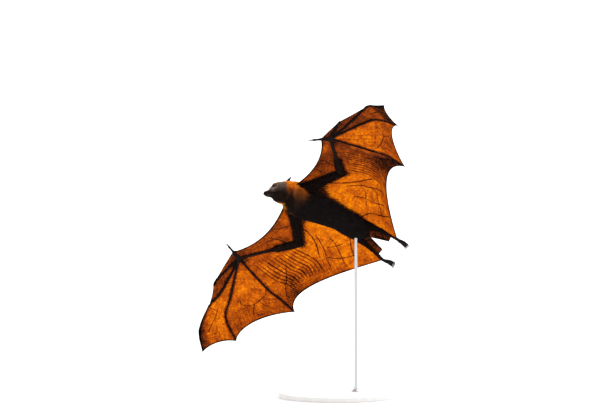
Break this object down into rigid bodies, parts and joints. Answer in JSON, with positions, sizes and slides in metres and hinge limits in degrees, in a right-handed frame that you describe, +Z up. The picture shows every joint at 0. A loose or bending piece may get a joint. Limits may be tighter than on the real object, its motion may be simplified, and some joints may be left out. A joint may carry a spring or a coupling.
{
  "type": "flying fox bat, still life-size display model in flight",
  "caption": "Grey-headed flying fox in banked flight, wings half lowered, held on a plain disc-and-rod display stand.",
  "frame": {"origin": "middle of the stand base's underside", "axes": "+Z up, +X towards the viewer's right with the belly side facing -Y; the bat flies towards -X"},
  "size_m": [0.5345, 0.7258, 0.7561],
  "materials": {
    "body_fur": "short dense blackish-brown fur",
    "head_fur": "short grizzled grey fur",
    "collar_fur": "thick rust-orange fur",
    "dark_skin": "thin wrinkled blackish skin",
    "wing_skin": "thin amber-brown membrane that lets light through",
    "claw": "smooth dark horn",
    "eye": "glossy dark brown",
    "ear_skin": "bare blackish skin",
    "stand_paint": "off-white satin lacquer on a turned wooden disc",
    "stand_steel": "satin"
  },
  "bodies": {
    "root": {"trunk": "body_fur", "neck": "collar_fur", "head": "head_fur", "eye_left": "eye", "ear_left": "ear_skin", "upper_arm_left": "body_fur", "forearm_left": "body_fur", "thigh_left": "body_fur", "wrist_left": "dark_skin", "thumb_left": "dark_skin", "digit_2_left": "dark_skin", "digit_3_left": "dark_skin", "digit_4_left": "dark_skin", "digit_5_left": "dark_skin", "shin_left": "dark_skin", "foot_left": "dark_skin", "thumb_claw_left": "claw", "membrane_arm_left": "wing_skin", "membrane_1_2_left": "wing_skin", "membrane_2_3_left": "wing_skin", "membrane_3_4_left": "wing_skin", "membrane_4_5_left": "wing_skin", "membrane_flank_left": "wing_skin", "membrane_tail_left": "wing_skin", "eye_right": "eye", "ear_right": "ear_skin", "upper_arm_right": "body_fur", "forearm_right": "body_fur", "thigh_right": "body_fur", "wrist_right": "dark_skin", "thumb_right": "dark_skin", "digit_2_right": "dark_skin", "digit_3_right": "dark_skin", "digit_4_right": "dark_skin", "digit_5_right": "dark_skin", "shin_right": "dark_skin", "foot_right": "dark_skin", "thumb_claw_right": "claw", "membrane_arm_right": "wing_skin", "membrane_1_2_right": "wing_skin", "membrane_2_3_right": "wing_skin", "membrane_3_4_right": "wing_skin", "membrane_4_5_right": "wing_skin", "membrane_flank_right": "wing_skin", "membrane_tail_right": "wing_skin", "stand_base": "stand_paint", "stand_rod": "stand_steel"}
  },
  "joints": []
}
